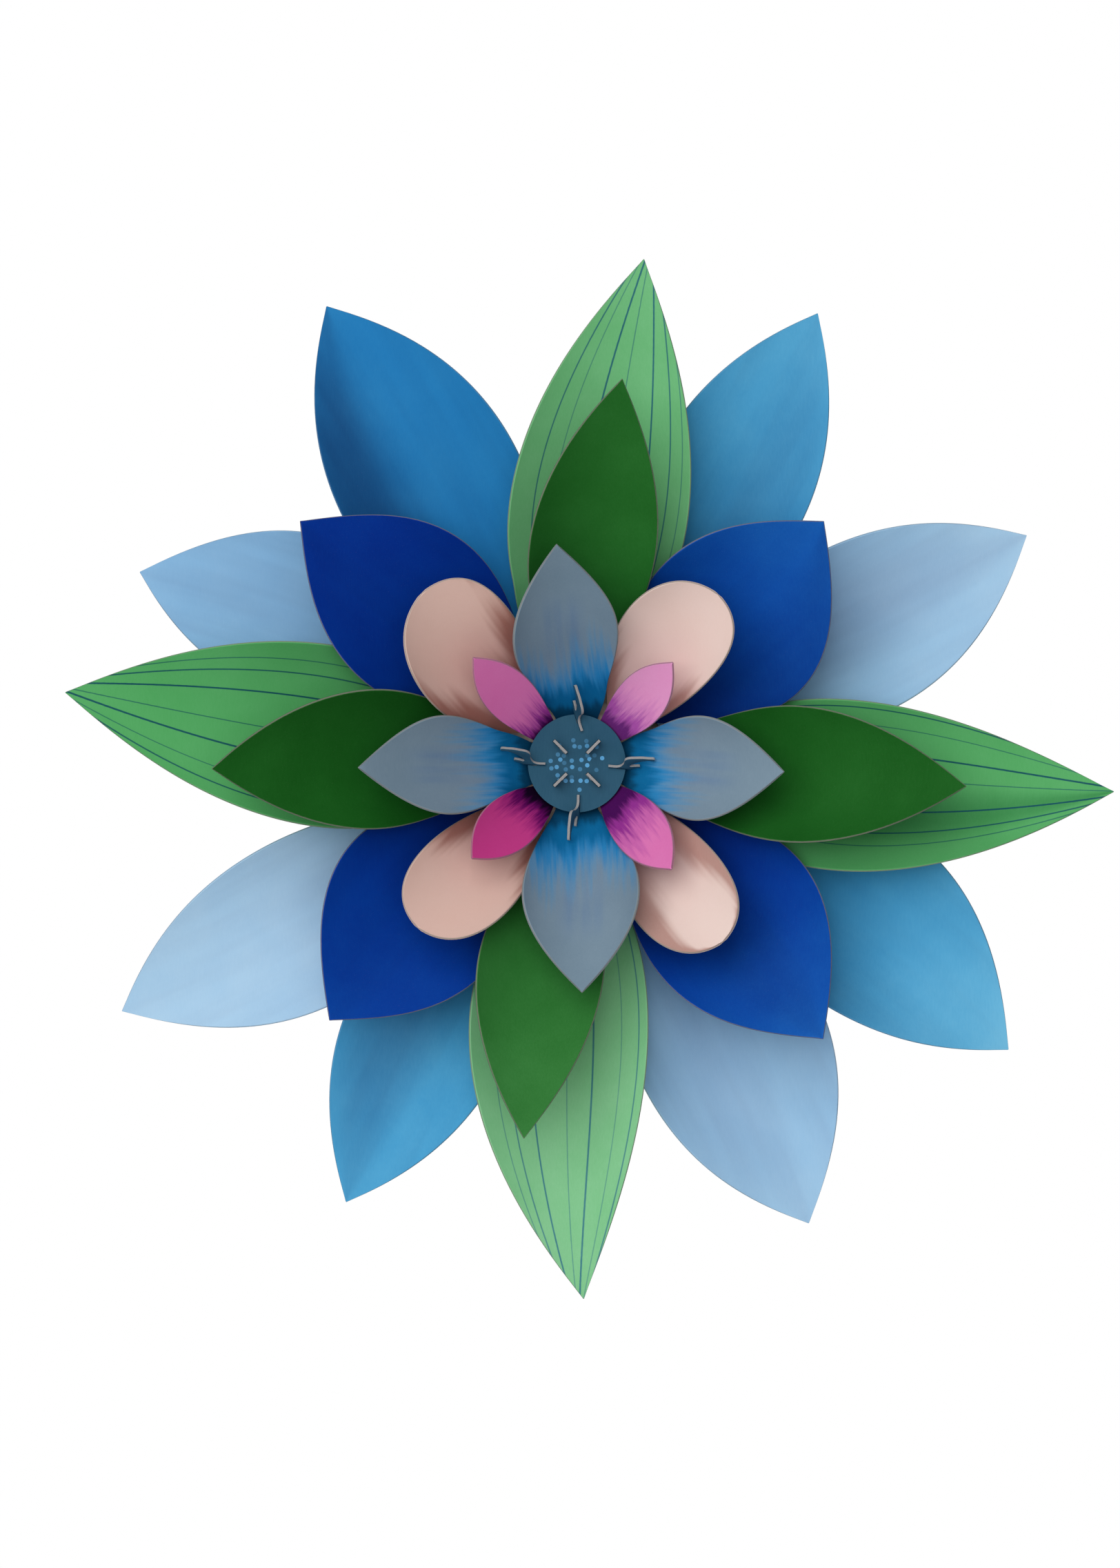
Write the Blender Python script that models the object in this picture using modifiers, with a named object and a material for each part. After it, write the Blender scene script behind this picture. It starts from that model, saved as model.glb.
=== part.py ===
"""Giant paper flower for a wall.

Thirty-two petals of thick card stand in the slots of four round hubs.
Two braces cross behind them, hold the hubs on a back plate and carry the centre disc with its four stamens.

The flower faces -Y and up is +Z. The rear face of the back plate lies in the XZ plane, around the origin.
Depth is measured from there towards the viewer, so a depth is a place on -Y.
A petal, a slot and a stamen are made on the +X side and then turned about Y to their azimuth.
"""
from dataclasses import dataclass
from math import cos, pi, radians, sin

import bmesh
import bpy
from mathutils import Matrix, Vector

MM = 0.001

# The card and how it goes together
CARD = 2.0 * MM              # thickness of every piece
FIT = 0.3 * MM               # gap between a piece and what it touches
HUB_RIM = 6.0 * MM           # card left outside a hub's slots
ROUND_SIDES = 48             # sides of a round piece

# Slots, from the centre of the flower. Hub 1 is at the back.
HUB_1_SLOTS = 66.0 * MM
HUB_2_SLOTS = 54.0 * MM
HUB_3_SLOTS = 42.0 * MM
HUB_4_GREY_SLOTS = 33.0 * MM
HUB_4_PINK_SLOTS = 29.5 * MM
TAIL_SHARE = 0.22            # length of a tail behind its hub, as a share of its slot's distance
TAIL_TAPER = 0.6             # width of a tail's end, as a share of its width in the slot

# Petals. ROOT is half the width in the slot. SHOULDER and TIP are half the width that the outline's
# two handles pull towards. CUP is the radius of the curve across a petal.
BACK_LENGTH = 292.0 * MM
BACK_ROOT = 14.0 * MM
BACK_SHOULDER = 52.0 * MM
BACK_TIP = 116.0 * MM
BACK_CUP = 118.0 * MM

LIGHT_LEAF_LENGTH = 326.0 * MM
LIGHT_LEAF_ROOT = 12.0 * MM
LIGHT_LEAF_SHOULDER = 81.0 * MM
LIGHT_LEAF_TIP = 98.0 * MM
LIGHT_LEAF_CUP = 91.0 * MM

NAVY_LENGTH = 217.0 * MM
NAVY_ROOT = 12.0 * MM
NAVY_SHOULDER = 113.0 * MM
NAVY_TIP = 56.0 * MM
NAVY_CUP = 118.0 * MM

DARK_LEAF_LENGTH = 252.0 * MM
DARK_LEAF_ROOT = 14.0 * MM
DARK_LEAF_SHOULDER = 50.0 * MM
DARK_LEAF_TIP = 80.0 * MM
DARK_LEAF_CUP = 67.0 * MM

BEIGE_LENGTH = 147.0 * MM
BEIGE_ROOT = 10.0 * MM
BEIGE_SHOULDER = 33.0 * MM
BEIGE_TIP = 78.0 * MM
BEIGE_CUP = 56.0 * MM

GREY_LENGTH = 160.0 * MM
GREY_ROOT = 15.0 * MM
GREY_SHOULDER = 61.0 * MM
GREY_TIP = 50.0 * MM
GREY_CUP = 50.0 * MM

PINK_LENGTH = 110.0 * MM
PINK_ROOT = 8.0 * MM
PINK_SHOULDER = 31.0 * MM
PINK_TIP = 15.0 * MM
PINK_CUP = 45.0 * MM

NECK_SHARE = 0.25            # share of a petal's length over which it takes its full bend

# Back plate
PLATE_RADIUS = 85.0 * MM
HANGING_HOLE_RADIUS = 4.0 * MM
HANGING_HOLE_INSET = 9.0 * MM     # from the plate's edge in to the hole's centre

# Crossed braces
BRACE_AZIMUTHS = (45.0, 135.0)
FOOT_INNER = 9.0 * MM        # a brace stands in the plate on two feet
COLUMN_REACH = 16.0 * MM     # half the width inside the hubs
SHOULDER_REACH = 25.0 * MM   # half the width under the disc
PRONG_INNER = 10.3 * MM      # the prongs come up through the disc
PRONG_OUTER = 23.0 * MM
PRONG_HEIGHT = 10.0 * MM     # above the face of the disc

# Centre disc and the stamens that grip its rim
DISC_RADIUS = 35.0 * MM
DISC_ROOM = 0.8 * MM         # extra height over the innermost petals
SLIT_DEPTH = 3.3 * MM        # how far a stamen's slit runs in from the rim
STAMEN_SEAT = 1.5 * MM       # from the rim in to the point a stamen turns on
STAMEN_CREASE = 1.2 * MM     # height of the crease above the disc
HOOK_REACH = 4.0 * MM        # how far a stamen hooks in under the disc
HOOK_DROP = 2.2 * MM
LEDGE_LENGTH = 9.2 * MM      # a stamen's low inner end, from its slit
LEDGE_HEIGHT = 2.2 * MM

# The free part of a stamen from the ledge round to the rim: out from the disc's rim, then up from its face
STAMEN_SPIKES = (
    (-5.0 * MM, 2.8 * MM),
    (-2.0 * MM, 7.0 * MM),
    (-0.5 * MM, 13.5 * MM),
    (7.0 * MM, 16.2 * MM),
    (14.5 * MM, 16.8 * MM),
    (20.0 * MM, 15.6 * MM),
    (14.5 * MM, 14.2 * MM),
    (8.0 * MM, 11.2 * MM),
    (3.5 * MM, 7.0 * MM),
    (2.8 * MM, 4.8 * MM),
    (6.5 * MM, 5.2 * MM),
    (10.0 * MM, 5.0 * MM),
    (6.5 * MM, 2.8 * MM),
)


@dataclass
class Outline:
    """Half of a petal's flat outline, a cubic curve from the middle of the slot to the tip."""
    root: float
    length: float
    shoulder: float
    tip: float
    shoulder_at: float       # share of the length
    tip_at: float            # share of the length


@dataclass
class Petal:
    """One petal as it was pushed in and bent by hand."""
    name: str
    azimuth: float           # degrees from +X towards +Z, where its slot is
    lean: float              # degrees to the side, out of the slot
    bow: float               # to the side at half length, as a share of the outline's length
    roll: float              # degrees about its own length
    length: float            # share of the outline's length
    width: float             # share of the outline's width
    pitch: float = 0.0       # degrees more than its ring
    colour: tuple = None     # where it differs from its ring


@dataclass
class Ring:
    """Petals of one shape, and the hub that they stand in."""
    hub: int
    slot_radius: float
    pitch: float             # degrees up from the wall
    cup: float
    outline: Outline
    rows: int                # faces along a petal
    colour: tuple
    petals: tuple


# Colours of the printed card
SKY = (0.36, 0.55, 0.76)
MID_BLUE = (0.045, 0.23, 0.48)
LIGHT_GREEN = (0.10, 0.40, 0.12)
NAVY = (0.004, 0.035, 0.22)
DARK_GREEN = (0.012, 0.11, 0.014)
BEIGE = (0.66, 0.45, 0.39)
GREY = (0.19, 0.24, 0.32)
PINK = (0.62, 0.14, 0.42)
TEAL = (0.028, 0.105, 0.16)
BOARD = (0.26, 0.23, 0.21)

COLUMNS = 4                  # faces across a petal

RINGS = (
    Ring(
        hub=1, slot_radius=HUB_1_SLOTS, pitch=6.0, cup=BACK_CUP, rows=10, colour=MID_BLUE,
        outline=Outline(BACK_ROOT, BACK_LENGTH, BACK_SHOULDER, BACK_TIP, 0.28, 0.60),
        petals=(
            Petal("back_petal_blue_nw", 118, 0.9, -0.014, -2.0, 1.050, 1.05, 4.0),
            Petal("back_petal_blue_ne", 62, -0.2, -0.007, 5.0, 1.024, 0.90, 4.0),
            Petal("back_petal_blue_se", 332, -6.8, 0.062, 0.0, 1.044, 1.07, 4.0),
            Petal("back_petal_blue_sw", 242, 0.3, -0.018, 1.0, 0.990, 0.92, 4.0),
            Petal("back_petal_sky_nw", 152, 5.4, -0.048, 4.0, 0.946, 0.97, colour=SKY),
            Petal("back_petal_sky_ne", 28, -1.4, -0.018, 2.8, 1.011, 0.98, colour=SKY),
            Petal("back_petal_sky_sw", 208, 0.7, 0.021, -4.0, 1.044, 0.97, colour=SKY),
            Petal("back_petal_sky_se", 298, -1.5, 0.020, -4.0, 1.037, 1.12, colour=SKY),
        ),
    ),
    Ring(
        hub=2, slot_radius=HUB_2_SLOTS, pitch=16.0, cup=LIGHT_LEAF_CUP, rows=10, colour=LIGHT_GREEN,
        outline=Outline(LIGHT_LEAF_ROOT, LIGHT_LEAF_LENGTH, LIGHT_LEAF_SHOULDER, LIGHT_LEAF_TIP,
                        0.31, 0.50),
        petals=(
            Petal("leaf_light_n", 90, -8.9, 0.015, 1.8, 0.956, 1.01),
            Petal("leaf_light_e", 0, -3.6, -0.028, -5.0, 1.017, 0.96),
            Petal("leaf_light_s", 270, 0.8, -0.050, -3.0, 1.014, 1.01),
            Petal("leaf_light_w", 180, -9.2, 0.001, -1.5, 0.975, 1.03),
        ),
    ),
    Ring(
        hub=2, slot_radius=HUB_2_SLOTS, pitch=26.0, cup=NAVY_CUP, rows=10, colour=NAVY,
        outline=Outline(NAVY_ROOT, NAVY_LENGTH, NAVY_SHOULDER, NAVY_TIP, 0.57, 0.76),
        petals=(
            Petal("petal_navy_nw", 135, 5.0, -0.007, 6.0, 1.027, 0.94),
            Petal("petal_navy_ne", 45, -0.8, -0.030, 6.0, 0.950, 1.03),
            Petal("petal_navy_se", 315, -4.2, 0.029, 0.0, 1.034, 0.99),
            Petal("petal_navy_sw", 225, 1.4, -0.046, -1.5, 0.992, 1.02),
        ),
    ),
    Ring(
        hub=3, slot_radius=HUB_3_SLOTS, pitch=30.5, cup=DARK_LEAF_CUP, rows=10, colour=DARK_GREEN,
        outline=Outline(DARK_LEAF_ROOT, DARK_LEAF_LENGTH, DARK_LEAF_SHOULDER, DARK_LEAF_TIP, 0.45, 0.54),
        petals=(
            Petal("leaf_dark_n", 90, -7.9, 0.022, 5.0, 1.017, 0.95),
            Petal("leaf_dark_e", 0, -4.2, -0.006, -5.0, 1.026, 1.04),
            Petal("leaf_dark_s", 270, -9.7, -0.035, -3.2, 1.000, 0.95),
            Petal("leaf_dark_w", 180, 1.2, -0.025, -5.0, 0.956, 1.07),
        ),
    ),
    Ring(
        hub=3, slot_radius=HUB_3_SLOTS, pitch=40.0, cup=BEIGE_CUP, rows=10, colour=BEIGE,
        outline=Outline(BEIGE_ROOT, BEIGE_LENGTH, BEIGE_SHOULDER, BEIGE_TIP, 0.21, 0.96),
        petals=(
            Petal("petal_beige_nw", 135, -3.3, 0.044, 6.0, 1.036, 1.07),
            Petal("petal_beige_ne", 45, 6.9, 0.033, -6.0, 0.976, 0.94),
            Petal("petal_beige_se", 315, -8.0, -0.015, 6.0, 1.044, 0.90),
            Petal("petal_beige_sw", 225, 1.4, 0.017, 6.0, 1.034, 0.90),
        ),
    ),
    Ring(
        hub=4, slot_radius=HUB_4_GREY_SLOTS, pitch=43.0, cup=GREY_CUP, rows=9, colour=GREY,
        outline=Outline(GREY_ROOT, GREY_LENGTH, GREY_SHOULDER, GREY_TIP, 0.68, 0.60),
        petals=(
            Petal("petal_grey_n", 90, 7.0, 0.019, 6.0, 1.002, 0.94),
            Petal("petal_grey_e", 0, -3.3, -0.004, 0.4, 0.933, 0.92),
            Petal("petal_grey_s", 270, 1.4, 0.013, 3.0, 1.060, 1.07),
            Petal("petal_grey_w", 180, 1.7, 0.005, 5.0, 1.002, 0.86),
        ),
    ),
    Ring(
        hub=4, slot_radius=HUB_4_PINK_SLOTS, pitch=51.0, cup=PINK_CUP, rows=7, colour=PINK,
        outline=Outline(PINK_ROOT, PINK_LENGTH, PINK_SHOULDER, PINK_TIP, 0.66, 0.81),
        petals=(
            Petal("petal_pink_nw", 135, -0.3, 0.002, -4.0, 1.050, 0.92),
            Petal("petal_pink_ne", 45, 2.0, -0.018, -4.0, 0.960, 0.94),
            Petal("petal_pink_se", 315, -5.0, 0.018, 4.0, 1.000, 1.04),
            Petal("petal_pink_sw", 225, -4.0, -0.006, 4.0, 1.000, 1.04),
        ),
    ),
)


@dataclass
class Stamen:
    name: str
    azimuth: float
    shift: float             # to the side of its azimuth
    turn: float              # degrees about the depth axis
    lean: float              # degrees to the side above its crease


STAMENS = (
    Stamen("stamen_n", 90, 0.0 * MM, 18, -22),
    Stamen("stamen_e", 0, -3.0 * MM, -4, 30),
    Stamen("stamen_s", 270, 1.0 * MM, -2, -24),
    Stamen("stamen_w", 180, 0.0 * MM, -4, -38),
)

HUBS = (1, 2, 3, 4)


def hub_back(hub):
    """Depth of a hub's rear face: each hub lies on the tails of the petals that stand in it."""
    return CARD + hub * 2 * FIT + CARD * (2 * hub - 1)


def hub_front(hub):
    return hub_back(hub) + CARD


def tail_middle(hub):
    return hub_back(hub) - FIT - CARD / 2


def blade_start(hub):
    """Depth at which the middle of a blade leaves its slot."""
    return hub_front(hub) + FIT + CARD / 2


def hub_rings(hub):
    return [ring for ring in RINGS if ring.hub == hub]


def hub_radius(hub):
    return max(ring.slot_radius for ring in hub_rings(hub)) + HUB_RIM


def disc_back():
    """Depth at which the disc's rim just clears the steepest petals under it."""
    clear = 0.0
    for ring in hub_rings(HUBS[-1]):
        angle = radians(ring.pitch)
        out = DISC_RADIUS - ring.slot_radius
        clear = max(clear, (CARD / 2 + FIT + out * sin(angle)) / cos(angle))
    return blade_start(HUBS[-1]) + clear + DISC_ROOM


def disc_front():
    return disc_back() + CARD


def ease(share):
    """A smooth step from 0 to 1."""
    share = min(max(share, 0.0), 1.0)
    return share * share * (3 - 2 * share)


def outline_point(outline, t):
    """Distance from the slot and half the width, at a place t from 0 to 1 on the outline."""
    first, second = 3 * (1 - t) ** 2 * t, 3 * (1 - t) * t ** 2
    along = outline.length * (first * outline.shoulder_at + second * outline.tip_at + t ** 3)
    half = (1 - t) ** 3 * outline.root + first * outline.shoulder + second * outline.tip
    return along, half


def blade_point(ring, petal, along, across):
    """Where a point of the flat blade comes to in the bent petal: radius, side and depth."""
    share = along / ring.outline.length
    bend = ease(share / NECK_SHARE)
    along *= petal.length
    across *= 1 + (petal.width - 1) * bend

    curve = max(bend, 1e-4) / ring.cup
    side = sin(curve * across) / curve + petal.bow * ring.outline.length * 4 * share * (1 - share)
    rise = (1 - cos(curve * across)) / curve
    roll = radians(petal.roll) * bend
    side, rise = side * cos(roll) - rise * sin(roll), side * sin(roll) + rise * cos(roll)

    pitch = radians(ring.pitch + petal.pitch)
    out = along * cos(pitch) - rise * sin(pitch)
    depth = along * sin(pitch) + rise * cos(pitch)
    lean = radians(petal.lean) * bend
    out, side = out * cos(lean) - side * sin(lean), out * sin(lean) + side * cos(lean)
    return ring.slot_radius + out, side, blade_start(ring.hub) + depth


def petal_point(ring, petal, row, across):
    """A point of the whole petal: the tail's end, its fold, the fold in front of the hub, then the blade."""
    root = ring.outline.root
    if row == 0:
        return ring.slot_radius * (1 - TAIL_SHARE), across * root * TAIL_TAPER, tail_middle(ring.hub)
    if row == 1:
        return ring.slot_radius, across * root, tail_middle(ring.hub)
    along, half = outline_point(ring.outline, (row - 2) / ring.rows)
    return blade_point(ring, petal, along, across * half)


def new_collection(name):
    collection = bpy.data.collections.new(name)
    bpy.context.scene.collection.children.link(collection)
    return collection


def card_material(name, colour):
    material = bpy.data.materials.new(name)
    material.use_nodes = True
    shader = material.node_tree.nodes["Principled BSDF"]
    shader.inputs["Base Color"].default_value = (*colour, 1.0)
    shader.inputs["Roughness"].default_value = 0.72
    shader.inputs["Metallic"].default_value = 0.0
    material.diffuse_color = (*colour, 1.0)
    return material


def add_object(name, bm, collection, parent=None):
    mesh = bpy.data.meshes.new(name)
    bm.to_mesh(mesh)
    bm.free()
    obj = bpy.data.objects.new(name, mesh)
    collection.objects.link(obj)
    obj.parent = parent
    return obj


def add_piece(name, bm, colour):
    obj = add_object(name, bm, flower, frame)
    obj.data.materials.append(card_material(name + "_card", colour))
    obj.data.shade_smooth()
    return obj


def give_thickness(obj):
    card = obj.modifiers.new("Card", "SOLIDIFY")
    card.thickness = CARD
    card.offset = 0.0
    card.use_even_offset = True
    card.use_quality_normals = True


def turn_to(obj, azimuth):
    obj.rotation_euler = (0.0, -radians(azimuth), 0.0)


def add_petal(ring, petal):
    """One sheet from the tail's end to the tip, given the card's thickness."""
    rows = ring.rows + 2
    bm = bmesh.new()
    bmesh.ops.create_grid(bm, x_segments=rows, y_segments=COLUMNS, size=1.0)
    for vert in bm.verts:
        row = round((vert.co.x + 1) / 2 * rows)
        out, side, depth = petal_point(ring, petal, row, vert.co.y)
        vert.co = (out, -depth, side)
    bmesh.ops.remove_doubles(bm, verts=bm.verts, dist=0.01 * MM)
    bmesh.ops.recalc_face_normals(bm, faces=bm.faces)
    obj = add_piece(petal.name, bm, petal.colour or ring.colour)
    give_thickness(obj)
    turn_to(obj, petal.azimuth)
    return obj


def round_plate(radius, back):
    """A flat round sheet with its rear face at the given depth."""
    bm = bmesh.new()
    middle = Matrix.Translation((0.0, -(back + CARD / 2), 0.0)) @ Matrix.Rotation(pi / 2, 4, "X")
    bmesh.ops.create_cone(bm, cap_ends=True, segments=ROUND_SIDES, radius1=radius, radius2=radius,
                          depth=CARD, matrix=middle)
    return bm


def add_slot(name, radius, azimuth, out, side, turn=0.0, shift=0.0):
    """A cutter: a box of the given length out from the centre and to the side, right through every layer."""
    bm = bmesh.new()
    bmesh.ops.create_cube(bm, size=1.0, matrix=Matrix.Diagonal((out, 4 * disc_front(), side, 1.0)))
    obj = add_object(name, bm, cutters)
    obj.location = Matrix.Rotation(-radians(azimuth), 4, "Y") @ Vector((radius, 0.0, shift))
    turn_to(obj, azimuth + turn)
    hide_cutter(obj)
    return obj


def hide_cutter(obj):
    obj.hide_render = True
    obj.display_type = "WIRE"


def cut(obj, cutter):
    slot = obj.modifiers.new(cutter.name, "BOOLEAN")
    slot.operation = "DIFFERENCE"
    slot.solver = "EXACT"
    slot.object = cutter


def cut_hanging_hole(plate):
    bm = bmesh.new()
    middle = Matrix.Translation((0.0, 0.0, PLATE_RADIUS - HANGING_HOLE_INSET))
    bmesh.ops.create_cone(bm, cap_ends=True, segments=20, radius1=HANGING_HOLE_RADIUS,
                          radius2=HANGING_HOLE_RADIUS, depth=4 * CARD,
                          matrix=middle @ Matrix.Rotation(pi / 2, 4, "X"))
    cutter = add_object("cut_hanging_hole", bm, cutters)
    hide_cutter(cutter)
    cut(plate, cutter)


def brace_arms():
    """Azimuths of the four arms of the crossed braces."""
    return [azimuth + half for azimuth in BRACE_AZIMUTHS for half in (0.0, 180.0)]


def add_back_plate():
    plate = add_piece("back_plate", round_plate(PLATE_RADIUS, 0.0), BOARD)
    cut_hanging_hole(plate)
    foot = COLUMN_REACH - FOOT_INNER
    for number, azimuth in enumerate(brace_arms(), 1):
        cut(plate, add_slot(f"cut_foot_{number}", FOOT_INNER + foot / 2, azimuth,
                            foot + 2 * FIT, CARD + 2 * FIT))


def add_hub(hub):
    obj = add_piece(f"hub_{hub}", round_plate(hub_radius(hub), hub_back(hub)), BOARD)
    for number, azimuth in enumerate(BRACE_AZIMUTHS, 1):
        cut(obj, add_slot(f"cut_hub_{hub}_brace_{number}", 0.0, azimuth,
                          2 * (COLUMN_REACH + FIT), CARD + 2 * FIT))
    for ring in hub_rings(hub):
        for petal in ring.petals:
            cut(obj, add_slot(f"cut_{petal.name}", ring.slot_radius, petal.azimuth,
                              CARD + 2 * FIT, 2 * (ring.outline.root + FIT)))


def add_centre_disc():
    disc = add_piece("centre_disc", round_plate(DISC_RADIUS, disc_back()), TEAL)
    prong = PRONG_OUTER - PRONG_INNER
    for number, azimuth in enumerate(brace_arms(), 1):
        cut(disc, add_slot(f"cut_prong_{number}", PRONG_INNER + prong / 2, azimuth,
                           prong + 2 * FIT, CARD + 2 * FIT))
    for stamen in STAMENS:
        slit = 2 * (SLIT_DEPTH + FIT - STAMEN_SEAT)
        cut(disc, add_slot(f"cut_{stamen.name}", DISC_RADIUS - STAMEN_SEAT, stamen.azimuth,
                           slit + 4 * STAMEN_SEAT, CARD + 2 * FIT, stamen.turn, stamen.shift))


def sheet(points):
    """A flat sheet with the given outline: out along X, depth along -Y."""
    bm = bmesh.new()
    bm.faces.new([bm.verts.new((out, -depth, 0.0)) for out, depth in points])
    return bm


def add_brace(number, azimuth, open_to_front):
    """A flat brace. The pair cross in half-laps, one open to the front and one to the back."""
    plate_top, under_disc = CARD + FIT, disc_back() - FIT
    shoulder = hub_front(HUBS[-1]) + FIT
    lap = (plate_top + under_disc) / 2
    notch = CARD / 2 + FIT
    front = [
        (COLUMN_REACH, 0.0),
        (COLUMN_REACH, shoulder),
        (SHOULDER_REACH, shoulder),
        (SHOULDER_REACH, under_disc),
        (PRONG_OUTER, under_disc),
        (PRONG_OUTER, disc_front() + PRONG_HEIGHT),
        (PRONG_INNER, disc_front() + PRONG_HEIGHT),
        (PRONG_INNER, under_disc),
    ]
    back = [(FOOT_INNER, plate_top), (FOOT_INNER, 0.0)]
    if open_to_front:
        front += [(notch, under_disc), (notch, lap - FIT / 2)]
    else:
        back = [(notch, lap + FIT / 2), (notch, plate_top)] + back
    half = back + front
    mirrored = [(-out, depth) for out, depth in reversed(half)]
    obj = add_piece(f"brace_{number}", sheet(half + mirrored), BOARD)
    give_thickness(obj)
    turn_to(obj, azimuth)


def stamen_outline():
    """Outline of a stamen around the point that it turns on, with its height above the disc's face."""
    slit_end = STAMEN_SEAT - SLIT_DEPTH
    outer = STAMEN_SEAT + 1.5 * MM
    under = -(CARD + FIT)
    points = [(slit_end, FIT), (slit_end - LEDGE_LENGTH, FIT), (slit_end - LEDGE_LENGTH, LEDGE_HEIGHT)]
    points += [(STAMEN_SEAT + out, height) for out, height in STAMEN_SPIKES]
    points += [(outer, FIT), (outer, under - HOOK_DROP), (slit_end - HOOK_REACH, under - HOOK_DROP),
               (slit_end - HOOK_REACH, under), (slit_end, under)]
    return points


def add_stamen(stamen):
    """A flat card hooked into the disc's rim and creased to one side just above the disc."""
    bm = sheet(stamen_outline())
    bmesh.ops.bisect_plane(bm, geom=bm.verts[:] + bm.edges[:] + bm.faces[:],
                           plane_co=(0.0, -STAMEN_CREASE, 0.0), plane_no=(0.0, 1.0, 0.0))
    over = [vert for vert in bm.verts if -vert.co.y > STAMEN_CREASE + 0.001 * MM]
    crease = Matrix.Translation((0.0, -STAMEN_CREASE, 0.0))
    bmesh.ops.transform(bm, verts=over,
                        matrix=crease @ Matrix.Rotation(-radians(stamen.lean), 4, "X") @ crease.inverted())
    obj = add_piece(stamen.name, bm, TEAL)
    give_thickness(obj)
    seat = Vector((DISC_RADIUS - STAMEN_SEAT, -disc_front(), stamen.shift))
    obj.location = Matrix.Rotation(-radians(stamen.azimuth), 4, "Y") @ seat
    turn_to(obj, stamen.azimuth + stamen.turn)


for old in list(bpy.data.objects):
    bpy.data.objects.remove(old, do_unlink=True)

flower = new_collection("giant_paper_flower")
cutters = new_collection("cutters")
frame = bpy.data.objects.new("flower_frame", None)
flower.objects.link(frame)

add_back_plate()
for hub_number in HUBS:
    add_hub(hub_number)
for petal_ring in RINGS:
    for one_petal in petal_ring.petals:
        add_petal(petal_ring, one_petal)
for brace_number, brace_azimuth in enumerate(BRACE_AZIMUTHS, 1):
    add_brace(brace_number, brace_azimuth, open_to_front=brace_number == 1)
add_centre_disc()
for one_stamen in STAMENS:
    add_stamen(one_stamen)
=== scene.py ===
# %% [markdown]
# # A giant paper flower
# The flower is a wall decoration of printed card. Thirty-two petals stand in the slots of four round hubs.
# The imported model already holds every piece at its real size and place, so it is loaded first.
# Each piece made here is a finer version that stands where its solid does.

# %% Load the frame
from dataclasses import dataclass
from math import cos, pi, radians, sin

import bpy
from mathutils import Matrix, Vector


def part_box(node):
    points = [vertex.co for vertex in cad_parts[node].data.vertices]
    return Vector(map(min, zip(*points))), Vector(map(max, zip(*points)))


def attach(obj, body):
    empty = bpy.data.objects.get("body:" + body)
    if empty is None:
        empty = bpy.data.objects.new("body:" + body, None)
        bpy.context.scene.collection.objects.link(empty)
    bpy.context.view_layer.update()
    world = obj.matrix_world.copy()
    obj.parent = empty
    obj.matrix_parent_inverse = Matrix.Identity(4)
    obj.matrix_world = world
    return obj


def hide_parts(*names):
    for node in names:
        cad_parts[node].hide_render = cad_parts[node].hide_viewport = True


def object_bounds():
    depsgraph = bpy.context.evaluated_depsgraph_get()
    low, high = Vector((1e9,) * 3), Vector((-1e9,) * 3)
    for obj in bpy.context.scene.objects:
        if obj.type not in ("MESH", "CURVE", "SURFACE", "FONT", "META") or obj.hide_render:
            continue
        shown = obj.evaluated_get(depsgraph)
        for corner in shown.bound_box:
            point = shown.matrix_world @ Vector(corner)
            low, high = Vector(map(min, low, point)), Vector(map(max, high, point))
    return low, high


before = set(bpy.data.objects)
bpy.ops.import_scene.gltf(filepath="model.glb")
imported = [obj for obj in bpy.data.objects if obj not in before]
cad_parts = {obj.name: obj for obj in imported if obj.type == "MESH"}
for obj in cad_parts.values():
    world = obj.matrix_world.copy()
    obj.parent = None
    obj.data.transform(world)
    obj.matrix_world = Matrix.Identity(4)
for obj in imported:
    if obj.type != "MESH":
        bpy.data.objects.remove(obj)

MM = 0.001
cad_box = [list(corner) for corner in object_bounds()]
print("CAD box in mm:", [[round(value / MM) for value in corner] for corner in cad_box])

# %% [markdown]
# ## Camera
# The flower was photographed from the front, a little below its middle, from about two and a half metres.
# A camera that stands still and looks along +Y gives the same perspective.
# The lens follows from the focal length in pixels, because the frame's width is known in pixels too.

# %% Camera
FRAME_WIDTH = 1624           # pixels
FOCAL_LENGTH = 4800          # pixels
SENSOR_WIDTH = 36.0          # millimetres
CAMERA_PLACE = (-0.012, -2.4, -0.01475)

bpy.ops.object.camera_add(location=CAMERA_PLACE, rotation=(pi / 2, 0.0, 0.0))
camera = bpy.context.object
camera.data.sensor_fit = "HORIZONTAL"
camera.data.sensor_width = SENSOR_WIDTH
camera.data.lens = SENSOR_WIDTH * FOCAL_LENGTH / FRAME_WIDTH
bpy.context.scene.camera = camera
bpy.context.scene.view_settings.view_transform = "Standard"
print("lens in mm:", round(camera.data.lens, 1))

# %% [markdown]
# ## Light
# A studio lights a wall decoration with one big soft box, high on the left. The room's walls do the rest.
# A large area lamp gives the wide soft shadows between the petals, and the world stands for the room.
# A weak lamp beside the camera fills the shadows, as a reflector would.
# All are set so that card that faces the camera shows about the colour that it was given.

# %% Light
LAMPS = (                    # name, place, size in metres, watts
    ("key_lamp", Vector((-1.2, -2.7, 1.1)), 3.0, 71.0),
    ("fill_lamp", Vector((0.3, -2.9, 0.0)), 1.6, 14.5),
)
ROOM_LIGHT = 0.29            # strength of the world as a light

for name, place, size, power in LAMPS:
    bpy.ops.object.light_add(type="AREA", location=place)
    lamp = bpy.context.object
    lamp.name = name
    lamp.data.shape = "SQUARE"
    lamp.data.size = size
    lamp.data.energy = power
    lamp.rotation_euler = (-place).to_track_quat("-Z", "Y").to_euler()
    print(name, "stands", round(place.length, 2), "m away")

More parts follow.
